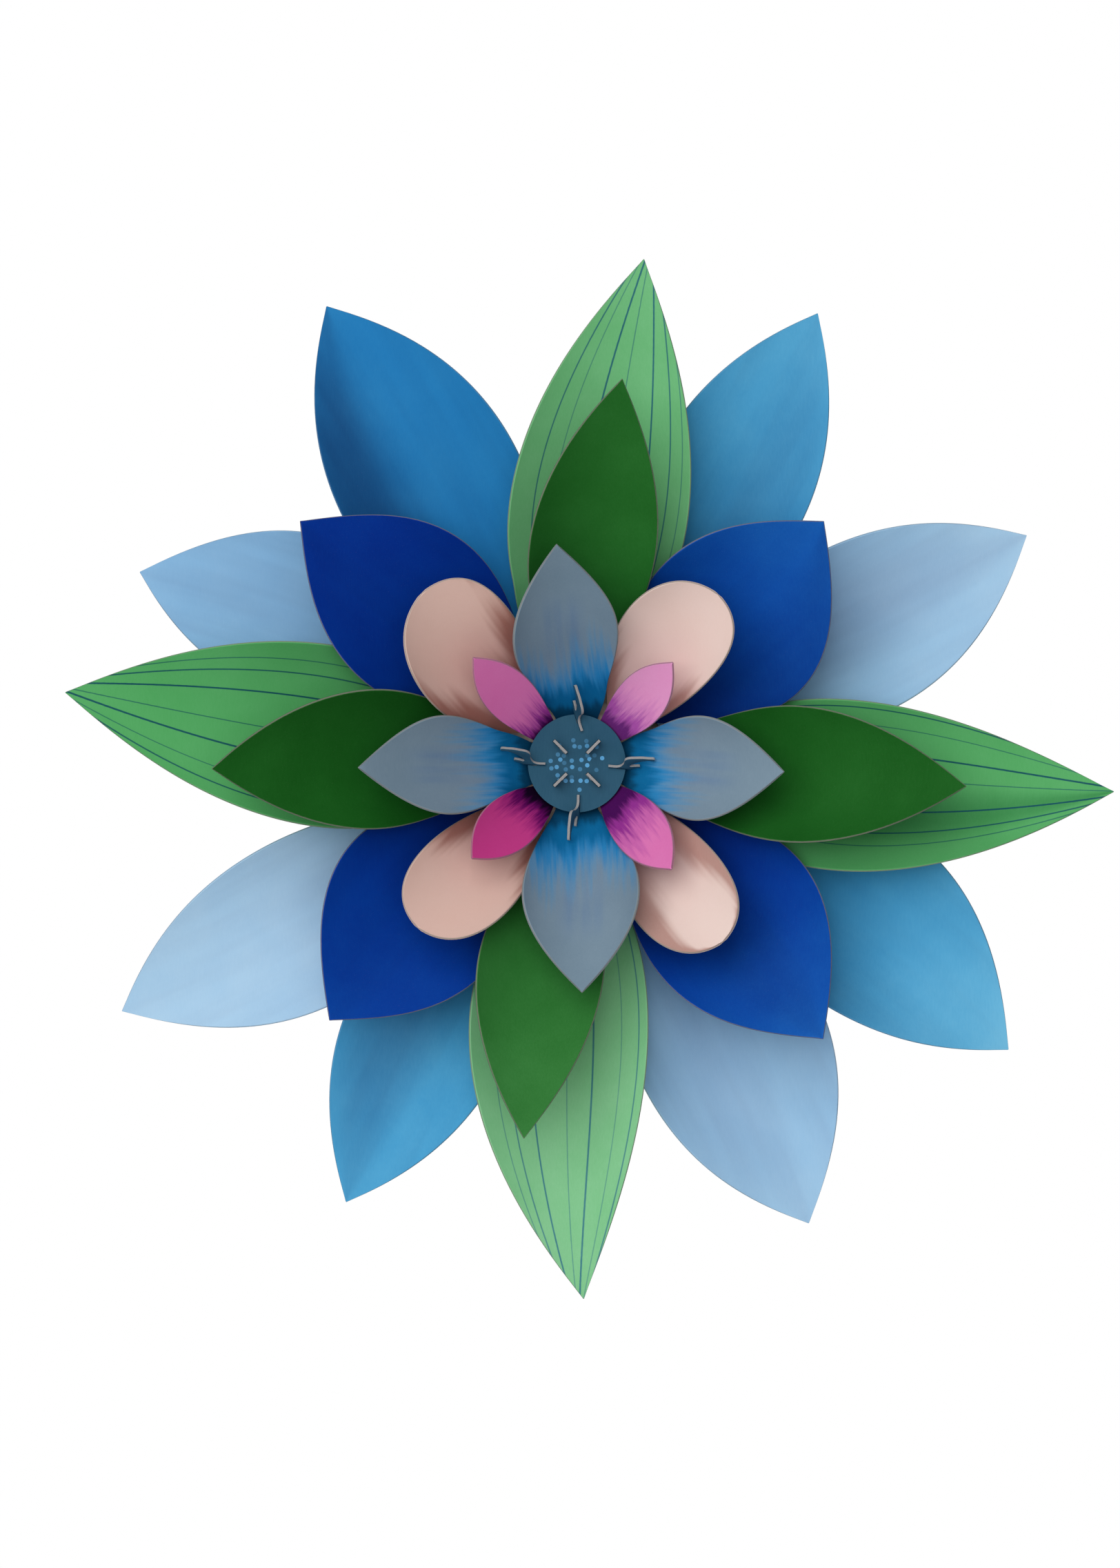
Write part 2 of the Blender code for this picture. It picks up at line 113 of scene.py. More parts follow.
# %% [markdown]
# ## Background
# The photograph has a pure white background.
# The world is white for the camera and for reflections, and lights the flower at its own lower level.
# A pale floor lies under the flower, below what the camera sees, and keeps its shadow.

# %% World
world = bpy.data.worlds.new("studio")
bpy.context.scene.world = world
world.use_nodes = True


def add_node(tree, kind, inputs=None, **settings):
    """Adds a node. An input is either a value or the output that it is linked to."""
    node = tree.nodes.new(kind)
    for name, value in settings.items():
        setattr(node, name, value)
    for name, value in (inputs or {}).items():
        if isinstance(value, bpy.types.NodeSocket):
            tree.links.new(value, node.inputs[name])
        else:
            node.inputs[name].default_value = value
    return node


def math_node(tree, operation, first, second=0.0, third=0.0, clamp=False):
    """Adds a Math node and returns its output."""
    inputs = {0: first, 1: second, 2: third}
    return add_node(tree, "ShaderNodeMath", inputs, operation=operation, use_clamp=clamp).outputs[0]


room = world.node_tree
room.nodes.clear()
rays = add_node(room, "ShaderNodeLightPath")
seen = math_node(room, "MAXIMUM", rays.outputs["Is Camera Ray"], rays.outputs["Is Glossy Ray"])
seen = math_node(room, "MAXIMUM", seen, rays.outputs["Is Transmission Ray"])
white = add_node(room, "ShaderNodeBackground", {"Color": (1, 1, 1, 1), "Strength": 1.0})
light = add_node(room, "ShaderNodeBackground", {"Color": (1, 1, 1, 1), "Strength": ROOM_LIGHT})
both = add_node(room, "ShaderNodeMixShader", {0: seen, 1: light.outputs[0], 2: white.outputs[0]})
add_node(room, "ShaderNodeOutputWorld", {"Surface": both.outputs[0]})
print("world nodes:", len(room.nodes))

# %% Floor
FLOOR_DROP = 0.38            # metres below the flower's lowest tip
FLOOR_SIZE = 1.8
FLOOR_BACK = 0.5             # the floor ends this far behind the wall plane
FLOOR_COLOUR = (0.90, 0.90, 0.89, 1.0)


def deselect_all():
    for other in bpy.context.selected_objects:
        other.select_set(False)


deselect_all()
bpy.ops.mesh.primitive_plane_add(
    size=FLOOR_SIZE, location=(0.0, FLOOR_BACK - FLOOR_SIZE / 2, cad_box[0][2] - FLOOR_DROP))
floor = bpy.context.object
floor.name = "floor"
floor_paint = bpy.data.materials.new("floor_paint")
floor_paint.use_nodes = True
floor_shader = floor_paint.node_tree.nodes["Principled BSDF"]
floor_shader.inputs["Base Color"].default_value = FLOOR_COLOUR
floor_shader.inputs["Roughness"].default_value = 0.8
floor.data.materials.append(floor_paint)
print("floor at", round(floor.location.z, 3), "m")

# %% [markdown]
# ## Card: the effects that its finishes share
# Printed card has a faint fibre grain, a print that is never quite even, and a cut edge where the grey
# core shows. These could be painted by hand for each piece. Node groups are better here, because all
# finishes use the same effects, each with its own values.
# A thicker layer of ink is the same colour raised to a higher power, so a petal is made lighter or darker by
# its layer and keeps its hue. A petal's layer is part print and part painted shade: it is thicker on the
# petals that face away from the light, and towards the slot on some of them.
# The grain reads the place in the object, so it is the same size on a small petal as on a large one.

# %% Helper for node groups


def paint(red, green, blue):
    """A colour as it shows on a screen, 0 to 255, made linear for the shader."""
    def linear(value):
        value /= 255
        return value / 12.92 if value <= 0.04045 else ((value + 0.055) / 1.055) ** 2.4
    return (linear(red), linear(green), linear(blue), 1.0)


def new_group(name, inputs, outputs):
    """A node group with named sockets. Returns its tree, its input node and its output node."""
    group = bpy.data.node_groups.new(name, "ShaderNodeTree")
    for socket, kind, value in inputs:
        group.interface.new_socket(socket, in_out="INPUT", socket_type=kind).default_value = value
    for socket, kind in outputs:
        group.interface.new_socket(socket, in_out="OUTPUT", socket_type=kind)
    return group, add_node(group, "NodeGroupInput"), add_node(group, "NodeGroupOutput")


def mix_colours(tree, factor, first, second, blend="MIX"):
    """Adds a colour Mix node and returns its output."""
    inputs = {0: factor, 6: first, 7: second}
    return add_node(tree, "ShaderNodeMix", inputs, data_type="RGBA", blend_type=blend).outputs[2]


def smooth_range(tree, value, low, high, to_low=0.0, to_high=1.0):
    """A smooth step: to_low below low, to_high above high."""
    inputs = {"Value": value, "From Min": low, "From Max": high, "To Min": to_low, "To Max": to_high}
    return add_node(tree, "ShaderNodeMapRange", inputs, interpolation_type="SMOOTHSTEP").outputs[0]


def noise(tree, vector, scale, detail=2.0, roughness=0.5):
    """Adds a Noise node and returns its value."""
    inputs = {"Vector": vector, "Scale": scale, "Detail": detail, "Roughness": roughness}
    return add_node(tree, "ShaderNodeTexNoise", inputs).outputs[0]


print("node helpers ready")

# %% Card grain
FIBRE_STRETCH = 0.16         # a fibre is longer than wide by one over this

grain_group, grain_in, grain_out = new_group(
    "card_grain",
    [("Fibre Scale", "NodeSocketFloat", 900.0), ("Mottle Scale", "NodeSocketFloat", 22.0)],
    [("Tone", "NodeSocketFloat"), ("Height", "NodeSocketFloat")])
place = add_node(grain_group, "ShaderNodeTexCoord").outputs["Object"]
stretched = add_node(grain_group, "ShaderNodeMapping", {"Vector": place, "Scale": (1.0, 1.0, FIBRE_STRETCH)})
fibres = noise(grain_group, stretched.outputs[0], grain_in.outputs["Fibre Scale"], 3.0, 0.6)
pulp = noise(grain_group, place, grain_in.outputs["Fibre Scale"], 2.0, 0.5)
mottle = noise(grain_group, place, grain_in.outputs["Mottle Scale"], 3.0, 0.55)
height = math_node(grain_group, "MULTIPLY_ADD", fibres, 0.6, pulp)
tone = math_node(grain_group, "MULTIPLY_ADD", fibres, 0.35, math_node(grain_group, "MULTIPLY", mottle, 0.65))
grain_group.links.new(tone, grain_out.inputs["Tone"])
grain_group.links.new(height, grain_out.inputs["Height"])
print("card_grain:", len(grain_group.nodes), "nodes")

# %% Ink on card
BARE_CARD = paint(140, 136, 128)
CHIP_REACH = 0.4 * MM        # how far from a cut edge the ink may be chipped off
INK_ROUGHNESS = 0.62

ink_group, ink_in, ink_out = new_group(
    "ink_on_card",
    [("Ink", "NodeSocketColor", (0.5, 0.5, 0.5, 1.0)), ("Bare Card", "NodeSocketColor", BARE_CARD),
     ("Depth", "NodeSocketFloat", 1.0), ("Tone", "NodeSocketFloat", 0.5),
     ("Unevenness", "NodeSocketFloat", 0.3), ("Edge Distance", "NodeSocketFloat", 1.0),
     ("Chipping", "NodeSocketFloat", 0.3)],
    [("Colour", "NodeSocketColor"), ("Roughness", "NodeSocketFloat")])
place = add_node(ink_group, "ShaderNodeTexCoord").outputs["Object"]
shift = math_node(ink_group, "SUBTRACT", ink_in.outputs["Tone"], 0.5)
layer = math_node(ink_group, "MULTIPLY_ADD", shift, ink_in.outputs["Unevenness"], ink_in.outputs["Depth"])
laid = add_node(ink_group, "ShaderNodeGamma", {"Color": ink_in.outputs["Ink"], "Gamma": layer})
specks = smooth_range(ink_group, noise(ink_group, place, 1500.0, 1.0), 0.66, 0.78, 0.0, 0.06)
flecked = mix_colours(ink_group, specks, laid.outputs[0], ink_in.outputs["Bare Card"])
ragged = math_node(ink_group, "MULTIPLY", noise(ink_group, place, 420.0, 3.0, 0.7), CHIP_REACH)
chipped = math_node(ink_group, "LESS_THAN", ink_in.outputs["Edge Distance"], ragged)
chipped = math_node(ink_group, "MULTIPLY", chipped, ink_in.outputs["Chipping"])
ink_group.links.new(mix_colours(ink_group, chipped, flecked, ink_in.outputs["Bare Card"]),
                    ink_out.inputs["Colour"])
roughness = math_node(ink_group, "MULTIPLY_ADD", shift, 0.3, INK_ROUGHNESS)
ink_group.links.new(roughness, ink_out.inputs["Roughness"])
print("ink_on_card:", len(ink_group.nodes), "nodes")

# %% Ink streaks
STREAK_STRETCH = 0.06        # a streak is longer than wide by one over this

streak_group, streak_in, streak_out = new_group(
    "ink_streaks",
    [("Along", "NodeSocketFloat", 0.0), ("Across", "NodeSocketFloat", 0.0),
     ("Reach", "NodeSocketFloat", 0.04), ("Feather", "NodeSocketFloat", 0.02),
     ("Fineness", "NodeSocketFloat", 700.0)],
    [("Mask", "NodeSocketFloat")])
plane = add_node(streak_group, "ShaderNodeCombineXYZ", {
    "X": streak_in.outputs["Across"],
    "Y": math_node(streak_group, "MULTIPLY", streak_in.outputs["Along"], STREAK_STRETCH)}).outputs[0]
fine = noise(streak_group, plane, streak_in.outputs["Fineness"], 2.0, 0.6)
coarseness = math_node(streak_group, "MULTIPLY", streak_in.outputs["Fineness"], 0.22)
broad = noise(streak_group, plane, coarseness, 1.0)
uneven = math_node(streak_group, "ADD", math_node(streak_group, "MULTIPLY_ADD", fine, 0.7, -0.6),
                   math_node(streak_group, "MULTIPLY", broad, 0.5))
swing = math_node(streak_group, "MULTIPLY", uneven, streak_in.outputs["Feather"])
end = math_node(streak_group, "MULTIPLY_ADD", swing, 4.0, streak_in.outputs["Reach"])
past = math_node(streak_group, "SUBTRACT", streak_in.outputs["Along"], end)
share = math_node(streak_group, "DIVIDE", past, streak_in.outputs["Feather"])
streak_group.links.new(smooth_range(streak_group, share, -0.6, 0.6, 1.0, 0.0), streak_out.inputs["Mask"])
print("ink_streaks:", len(streak_group.nodes), "nodes")

# %% [markdown]
# ## Finishes
# The faces of the card are printed, and the core that shows at a cut is bare grey board.
# Every printed petal stores where it is on its flat shape, in an attribute called flat: how far along it is,
# its share of the half width, and the half width. So lines and streaks bend with the petal.
# The petals of a ring differ a little in the photograph, partly as prints do and partly in the light on
# each.
# So two more attributes, print and ink_and_shade_depth, hold where a petal's print lies, how much there is
# of its pattern, and how thick its ink is. Both also carry painted shade: a darker strip along one side of
# the blue and navy petals, a painted shadow on one light leaf, and thicker ink on the petals that face away
# from the light.
# The paper is matte, so its highlights are weak and the same all over.

# %% Plain printed card
CARD_GLOSS = 0.05
GRAIN_DEPTH = 0.05 * MM
BUMP_STRENGTH = 0.5


def new_finish(name):
    """A matte material with card grain. Returns it, its tree, its shader and the grain node."""
    material = bpy.data.materials.new(name)
    material.use_nodes = True
    tree = material.node_tree
    shader = tree.nodes["Principled BSDF"]
    shader.inputs["Specular IOR Level"].default_value = CARD_GLOSS
    grain = add_node(tree, "ShaderNodeGroup", node_tree=grain_group)
    bump = add_node(tree, "ShaderNodeBump", {
        "Height": grain.outputs["Height"], "Strength": BUMP_STRENGTH, "Distance": GRAIN_DEPTH})
    tree.links.new(bump.outputs[0], shader.inputs["Normal"])
    return material, tree, shader, grain


@dataclass
class Flat:
    """Where a point is on the flat petal."""
    along: object            # metres from the slot
    share: object            # of the half width, -1 to 1
    half: object             # half the width, metres
    across: object           # metres from the middle
    to_edge: object          # metres to the cut edge
    shift: object            # metres that this petal's print lies off to the side
    lie: object              # share of the half width that it lies off to the side, and where a strip of painted shade lies
    amount: object           # how much there is of its pattern, and of its painted shade
    depth: object            # how thick its ink is, with painted shade where the petal faces away from the light


def read_vector(tree, name):
    """The three numbers that a petal stores under a name."""
    stored = add_node(tree, "ShaderNodeAttribute", attribute_name=name)
    parts = add_node(tree, "ShaderNodeSeparateXYZ", {0: stored.outputs["Vector"]}).outputs
    return parts["X"], parts["Y"], parts["Z"]


def read_flat(tree):
    along, share, half = read_vector(tree, "flat")
    depth = add_node(tree, "ShaderNodeAttribute", attribute_name="ink_and_shade_depth").outputs["Fac"]
    inside = math_node(tree, "SUBTRACT", 1.0, math_node(tree, "ABSOLUTE", share))
    return Flat(along, share, half, math_node(tree, "MULTIPLY", share, half),
                math_node(tree, "MULTIPLY", inside, half), *read_vector(tree, "print"), depth)


def printed_card(name, ink, pattern=None, on_petal=True):
    """Printed card. A pattern is a function that gives the ink's colour from the place on the flat petal."""
    material, tree, shader, grain = new_finish(name)
    flat = read_flat(tree) if on_petal else None
    colour = pattern(tree, flat, ink) if pattern else ink
    inputs = {"Tone": grain.outputs["Tone"], "Ink": colour}
    if on_petal:
        inputs.update({"Depth": flat.depth, "Edge Distance": flat.to_edge})
    print_node = add_node(tree, "ShaderNodeGroup", inputs, node_tree=ink_group)
    tree.links.new(print_node.outputs["Colour"], shader.inputs["Base Color"])
    tree.links.new(print_node.outputs["Roughness"], shader.inputs["Roughness"])
    return material


print("finish helpers ready")

# %% [markdown]
# ## Printed patterns
# The light leaves carry thin dark veins that run together towards the tip. A vein that keeps its share of
# the width does just that, so each vein is a distance from such a line. The print is a little wider than
# the card and lies off to one side, so some veins end at the edge. One leaf has a painted shadow beside its
# middle, where the dark leaf above it shades it.
# The grey petals are blue at the base and the pink ones dark, both drawn out in fine strokes, and the beige
# ones turn brown in two fans. The blue and navy petals have faint long strokes and a strip of painted shade
# along one side.

# %% Veins
VEIN_INK = paint(22, 84, 104)
# Painted shadow of the dark leaf on one light leaf, beside its middle.
PAINTED_SHADOW_COLOUR = paint(58, 134, 78)
SHADE_PLACE = -0.3           # share of the half width
SHADE_SPREAD = (0.05, 0.5)   # the painted shadow thins out over this share of the half width on each side
SHADE_STRENGTH = 0.6
VEIN_MARGIN = 10 * MM        # the print is this much wider than the card on each side
VEINS = (                    # share of the print's half width, width of the line in mm, strength
    (-0.62, 0.9, 0.6), (-0.48, 1.1, 0.8), (-0.26, 1.2, 0.9), (0.07, 0.8, 0.6), (0.31, 1.3, 0.9),
    (0.58, 0.8, 0.55), (0.76, 1.1, 0.8))


def veined_and_shadowed(tree, flat, ink):
    """Thin veins, and on one leaf a painted shadow beside the middle, where the dark leaf above shades it.
    """
    away = math_node(tree, "ABSOLUTE", math_node(tree, "SUBTRACT", flat.share, SHADE_PLACE))
    shade = smooth_range(tree, away, *SHADE_SPREAD, SHADE_STRENGTH, 0.0)
    ink = mix_colours(tree, math_node(tree, "MULTIPLY", shade, flat.amount), ink, PAINTED_SHADOW_COLOUR)
    half = math_node(tree, "ADD", flat.half, VEIN_MARGIN)
    share = math_node(tree, "DIVIDE", math_node(tree, "SUBTRACT", flat.across, flat.shift), half)
    share = math_node(tree, "SUBTRACT", share, flat.lie)
    mask = 0.0
    for place, width, strength in VEINS:
        offset = math_node(tree, "ABSOLUTE", math_node(tree, "SUBTRACT", share, place))
        distance = math_node(tree, "MULTIPLY", offset, half)
        line = smooth_range(tree, distance, width * MM * 0.3, width * MM * 0.7, strength, 0.0)
        mask = math_node(tree, "MAXIMUM", mask, line)
    return mix_colours(tree, mask, ink, VEIN_INK)


print("veins on a light leaf:", len(VEINS))

# %% Streaks
BLUE_LAYERS = (              # colour, strength, reach and feather in mm, fineness
    (paint(76, 142, 186), 0.7, 60, 36, 170.0), (paint(30, 128, 186), 0.9, 45, 25, 200.0),
    (paint(12, 104, 156), 1.0, 33, 15, 170.0), (paint(8, 66, 102), 0.9, 13, 8, 150.0))
DARK_LAYERS = (
    (paint(184, 78, 160), 0.6, 45, 19, 330.0), (paint(132, 30, 132), 0.9, 31, 19, 420.0),
    (paint(62, 8, 74), 1.0, 20, 11, 280.0))
MIDDLE_INK = paint(92, 122, 158)
BROWN_INK = paint(160, 104, 92)
FAN_REACH = 40               # mm from the slot along the middle
FAN_SPREAD = 62              # mm by which a fan reaches further at the side
FAN_FEATHER = 40             # mm
FAN_FINENESS = 70.0
STREAK_AND_SHADE_TINT = (0.55, 0.46, 0.54, 1.0)   # the ink is multiplied by this in the faint strokes, and in a strip of painted shade


def streaks(tree, flat, reach, feather, fineness):
    """Mask of the ink that starts at the slot and ends in strokes. The reach is a number or a socket."""
    return add_node(tree, "ShaderNodeGroup", {
        "Along": flat.along, "Across": flat.across, "Feather": feather, "Fineness": fineness,
        "Reach": math_node(tree, "MULTIPLY", flat.amount, reach)}, node_tree=streak_group).outputs["Mask"]


def base_inks(tree, flat, ink, layers):
    """Lays inks over each other at the base."""
    for colour, strength, reach, feather, fineness in layers:
        mask = streaks(tree, flat, reach * MM, feather * MM, fineness)
        ink = mix_colours(tree, math_node(tree, "MULTIPLY", mask, strength), ink, colour)
    return ink


def strokes(tree, flat, fineness):
    """Long strokes along the petal, from 0 to 1."""
    plane = add_node(tree, "ShaderNodeCombineXYZ", {
        "X": flat.across, "Y": math_node(tree, "MULTIPLY", flat.along, 0.08)}).outputs[0]
    return noise(tree, plane, fineness, 2.0)


def blue_based(tree, flat, ink):
    """A faint line of strokes along the middle, and a blue base."""
    middle = smooth_range(tree, math_node(tree, "ABSOLUTE", flat.across), 4 * MM, 22 * MM, 0.6, 0.0)
    middle = math_node(tree, "MULTIPLY", middle, smooth_range(tree, flat.along, 90 * MM, 125 * MM, 1.0, 0.0))
    middle = math_node(tree, "MULTIPLY", middle, smooth_range(tree, strokes(tree, flat, 90.0), 0.3, 0.7))
    return base_inks(tree, flat, mix_colours(tree, middle, ink, MIDDLE_INK), BLUE_LAYERS)


def dark_based(tree, flat, ink):
    return base_inks(tree, flat, ink, DARK_LAYERS)


def brown_based(tree, flat, ink):
    """Brown at the base, drawn out in two fans at the sides."""
    sides = math_node(tree, "MULTIPLY", math_node(tree, "MULTIPLY", flat.share, flat.share), FAN_SPREAD * MM)
    reach = math_node(tree, "ADD", sides, FAN_REACH * MM)
    fans = smooth_range(tree, math_node(tree, "ABSOLUTE", flat.share), 0.1, 0.7, 0.05, 0.75)
    mask = math_node(tree, "MULTIPLY", streaks(tree, flat, reach, FAN_FEATHER * MM, FAN_FINENESS), fans)
    return mix_colours(tree, mask, ink, BROWN_INK)


def brushed_and_shaded(tree, flat, ink):
    """Faint long strokes all over, and a strip of painted shade along one side, placed and weighted for each
    petal.
    """
    # Painted shade: a strip along one side of the petal is multiplied darker, weaker towards the tip.
    streaked_and_shaded = mix_colours(tree, 1.0, ink, STREAK_AND_SHADE_TINT, "MULTIPLY")
    away = math_node(tree, "ABSOLUTE", math_node(tree, "SUBTRACT", flat.share, flat.lie))
    painted_shade_band = smooth_range(tree, away, 0.1, 0.75, 1.0, 0.0)
    painted_shade_band = math_node(tree, "MULTIPLY", painted_shade_band, smooth_range(tree, flat.along, 200 * MM, 300 * MM, 1.0, 0.4))
    painted_shade_band = math_node(tree, "MULTIPLY", painted_shade_band, flat.amount)
    rough = math_node(tree, "MULTIPLY_ADD", strokes(tree, flat, 70.0), 0.4, -0.15)
    return mix_colours(tree, math_node(tree, "ADD", painted_shade_band, rough, clamp=True), ink, streaked_and_shaded)


print("patterns in strokes:", len((blue_based, dark_based, brown_based, brushed_and_shaded)))

# %% Card core
CORE = paint(132, 128, 120)  # at a petal's edge, a little soiled by handling
CLEAN_CORE = paint(153, 152, 150)
CORE_ROUGHNESS = 0.85


def core_card(name, colour, layers=1.0):
    """Bare grey board. Its fibres run in thin layers."""
    material, tree, shader, grain = new_finish(name)
    place = add_node(tree, "ShaderNodeTexCoord").outputs["Object"]
    sheets = noise(tree, place, 1400.0, 2.0, 0.7)
    factor = math_node(tree, "MULTIPLY", math_node(tree, "SUBTRACT", sheets, 0.5), 0.5 * layers)
    tone = math_node(tree, "MULTIPLY_ADD", grain.outputs["Tone"], 0.25, 0.875)
    level = math_node(tree, "ADD", factor, tone)
    scaled = add_node(tree, "ShaderNodeVectorMath", {0: colour[:3], "Scale": level}, operation="SCALE")
    tree.links.new(scaled.outputs[0], shader.inputs["Base Color"])
    shader.inputs["Roughness"].default_value = CORE_ROUGHNESS
    return material


def stained(ink, share):
    """The colour of a cut edge that has taken up a share of the ink beside it."""
    return tuple(core + (colour - core) * share for core, colour in zip(CORE, ink))


cut_core = core_card("cut_core", CLEAN_CORE)
print("card core ready")

# %% The finishes
INKS = {                     # ink, pattern, share of the ink that the cut edge takes up
    "sky_card": (paint(153, 194, 227), brushed_and_shaded, 0.7),
    "blue_card": (paint(60, 147, 199), brushed_and_shaded, 0.7),
    "light_green_card": (paint(100, 178, 114), veined_and_shadowed, 0.3),
    "navy_card": (paint(4, 59, 151), brushed_and_shaded, 0.3),
    "dark_green_card": (paint(30, 95, 33), None, 0.3),
    "beige_card": (paint(229, 201, 191), brown_based, 0.3),
    "grey_card": (paint(119, 141, 157), blue_based, 0.3),
    "pink_card": (paint(221, 113, 177), dark_based, 0.3),
}
fronts, backs, edges = {}, {}, {}
for slot, (ink, pattern, share) in INKS.items():
    fronts[slot] = printed_card(slot + "_front", ink, pattern)
    backs[slot] = printed_card(slot + "_back", ink)
    edges[slot] = core_card(slot + "_edge", stained(ink, share))
TEAL = paint(45, 86, 108)
teal_face = printed_card("teal_card_face", TEAL, on_petal=False)
print("card finishes:", len(fronts) + len(backs) + len(edges) + 1)

# %% [markdown]
# ## Petals: the pattern they were cut from
# All petals of a ring are cut from one flat outline, and each was then bent a little differently by hand.
# The values are the ones that the solids were made with, so every fine petal lies in its solid.
# Length and width are shares of the outline, and bow is a share of the length. Lean, roll and pitch are
# degrees.

# %% Petal shapes
@dataclass
class Petal:
    name: str
    azimuth: float
    lean: float
    bow: float
    roll: float
    length: float
    width: float
    pitch: float = 0.0
    slot: str = ""           # where its finish differs from its ring's
    ink: float = 1.0         # thickness of its ink, with painted shade where the petal faces away from the light
    shift: float = 0.0       # its print lies off to the side by this many mm
    lie: float = 0.0         # and by this share of the half width, which also places the strip of painted shade on blue and navy petals
    amount: float = 1.0      # how much there is of its pattern, and of its painted shade
    fade: float = 0.0        # share by which its ink is thinner at the tip than at the slot, painted shade towards the centre


@dataclass
class Ring:
    hub: int
    slot_radius: float       # all sizes in millimetres
    pitch: float
    cup: float               # radius of the curve across a petal
    root: float              # half the width in the slot
    length: float
    handles: tuple           # share of the length and half width, at the shoulder and at the tip
    slot: str
    petals: tuple


RINGS = (
    Ring(1, 66, 6.0, 118, 14, 292, ((0.28, 52), (0.60, 116)), "blue_card", (
        Petal("back_petal_blue_nw", 118, 0.9, -0.014, -2.0, 1.050, 1.05, 4.0, ink=1.3, lie=0.75, amount=0.9),
        Petal("back_petal_blue_ne", 62, -0.2, -0.007, 5.0, 1.024, 0.90, 4.0,
              ink=0.9, lie=-0.5, amount=0.35, fade=0.35),
        Petal("back_petal_blue_se", 332, -6.8, 0.062, 0.0, 1.044, 1.07, 4.0,
              ink=0.88, lie=-0.9, amount=0.15, fade=0.8),
        Petal("back_petal_blue_sw", 242, 0.3, -0.018, 1.0, 0.990, 0.92, 4.0,
              ink=0.88, lie=-0.35, amount=0.6, fade=0.1),
        Petal("back_petal_sky_nw", 152, 5.4, -0.048, 4.0, 0.946, 0.97, slot="sky_card", ink=1.2, amount=0.1),
        Petal("back_petal_sky_ne", 28, -1.4, -0.018, 2.8, 1.011, 0.98, slot="sky_card",
              ink=0.97, lie=0.2, amount=0.3, fade=0.4),
        Petal("back_petal_sky_sw", 208, 0.7, 0.021, -4.0, 1.044, 0.97, slot="sky_card", ink=0.8, amount=0.0),
        Petal("back_petal_sky_se", 298, -1.5, 0.020, -4.0, 1.037, 1.12, slot="sky_card",
              ink=1.02, lie=-0.3, amount=0.2, fade=0.2))),
    Ring(2, 54, 16.0, 91, 12, 326, ((0.31, 81), (0.50, 98)), "light_green_card", (
        Petal("leaf_light_n", 90, -8.9, 0.015, 1.8, 0.956, 1.01, ink=0.89, shift=-3, lie=-0.11, amount=0.0),
        Petal("leaf_light_e", 0, -3.6, -0.028, -5.0, 1.017, 0.96, ink=1.14, shift=-1, lie=0.06, amount=1.0),
        Petal("leaf_light_s", 270, 0.8, -0.050, -3.0, 1.014, 1.01, ink=0.73, shift=-7, lie=0.11, amount=0.0),
        Petal("leaf_light_w", 180, -9.2, 0.001, -1.5, 0.975, 1.03, ink=1.18, shift=-4, amount=0.0))),
    Ring(2, 54, 26.0, 118, 12, 217, ((0.57, 113), (0.76, 56)), "navy_card", (
        Petal("petal_navy_nw", 135, 5.0, -0.007, 6.0, 1.027, 0.94, ink=1.12, lie=0.3, amount=0.15),
        Petal("petal_navy_ne", 45, -0.8, -0.030, 6.0, 0.950, 1.03,
              ink=0.86, lie=-0.8, amount=0.45, fade=0.45),
        Petal("petal_navy_se", 315, -4.2, 0.029, 0.0, 1.034, 0.99, ink=0.95, lie=-0.1, amount=0.3, fade=0.6),
        Petal("petal_navy_sw", 225, 1.4, -0.046, -1.5, 0.992, 1.02, ink=1.05, amount=0.1, fade=0.2))),
    Ring(3, 42, 30.5, 67, 14, 252, ((0.45, 50), (0.54, 80)), "dark_green_card", (
        Petal("leaf_dark_n", 90, -7.9, 0.022, 5.0, 1.017, 0.95, ink=0.97),
        Petal("leaf_dark_e", 0, -4.2, -0.006, -5.0, 1.026, 1.04, ink=1.06),
        Petal("leaf_dark_s", 270, -9.7, -0.035, -3.2, 1.000, 0.95, ink=0.82, fade=0.2),
        Petal("leaf_dark_w", 180, 1.2, -0.025, -5.0, 0.956, 1.07, ink=1.12))),
    Ring(3, 42, 40.0, 56, 10, 147, ((0.21, 33), (0.96, 78)), "beige_card", (
        Petal("petal_beige_nw", 135, -3.3, 0.044, 6.0, 1.036, 1.07, ink=1.3, amount=1.15),
        Petal("petal_beige_ne", 45, 6.9, 0.033, -6.0, 0.976, 0.94, ink=0.9, amount=0.75),
        Petal("petal_beige_se", 315, -8.0, -0.015, 6.0, 1.044, 0.90, ink=0.85, amount=1.7),
        Petal("petal_beige_sw", 225, 1.4, 0.017, 6.0, 1.034, 0.90, ink=1.28, amount=0.9))),
    Ring(4, 33, 43.0, 50, 15, 160, ((0.68, 61), (0.60, 50)), "grey_card", (
        Petal("petal_grey_n", 90, 7.0, 0.019, 6.0, 1.002, 0.94, ink=1.05),
        Petal("petal_grey_e", 0, -3.3, -0.004, 0.4, 0.933, 0.92, ink=0.97),
        Petal("petal_grey_s", 270, 1.4, 0.013, 3.0, 1.060, 1.07, ink=1.0, amount=1.1),
        Petal("petal_grey_w", 180, 1.7, 0.005, 5.0, 1.002, 0.86, ink=1.0))),
    Ring(4, 29.5, 51.0, 45, 8, 110, ((0.66, 31), (0.81, 15)), "pink_card", (
        Petal("petal_pink_nw", 135, -0.3, 0.002, -4.0, 1.050, 0.92, ink=0.92, amount=0.75),
        Petal("petal_pink_ne", 45, 2.0, -0.018, -4.0, 0.960, 0.94, ink=0.61, amount=1.3),
        Petal("petal_pink_se", 315, -5.0, 0.018, 4.0, 1.000, 1.04, ink=0.92, amount=1.55),
        Petal("petal_pink_sw", 225, -4.0, -0.006, 4.0, 1.000, 1.04, ink=1.7, amount=1.05))),
)
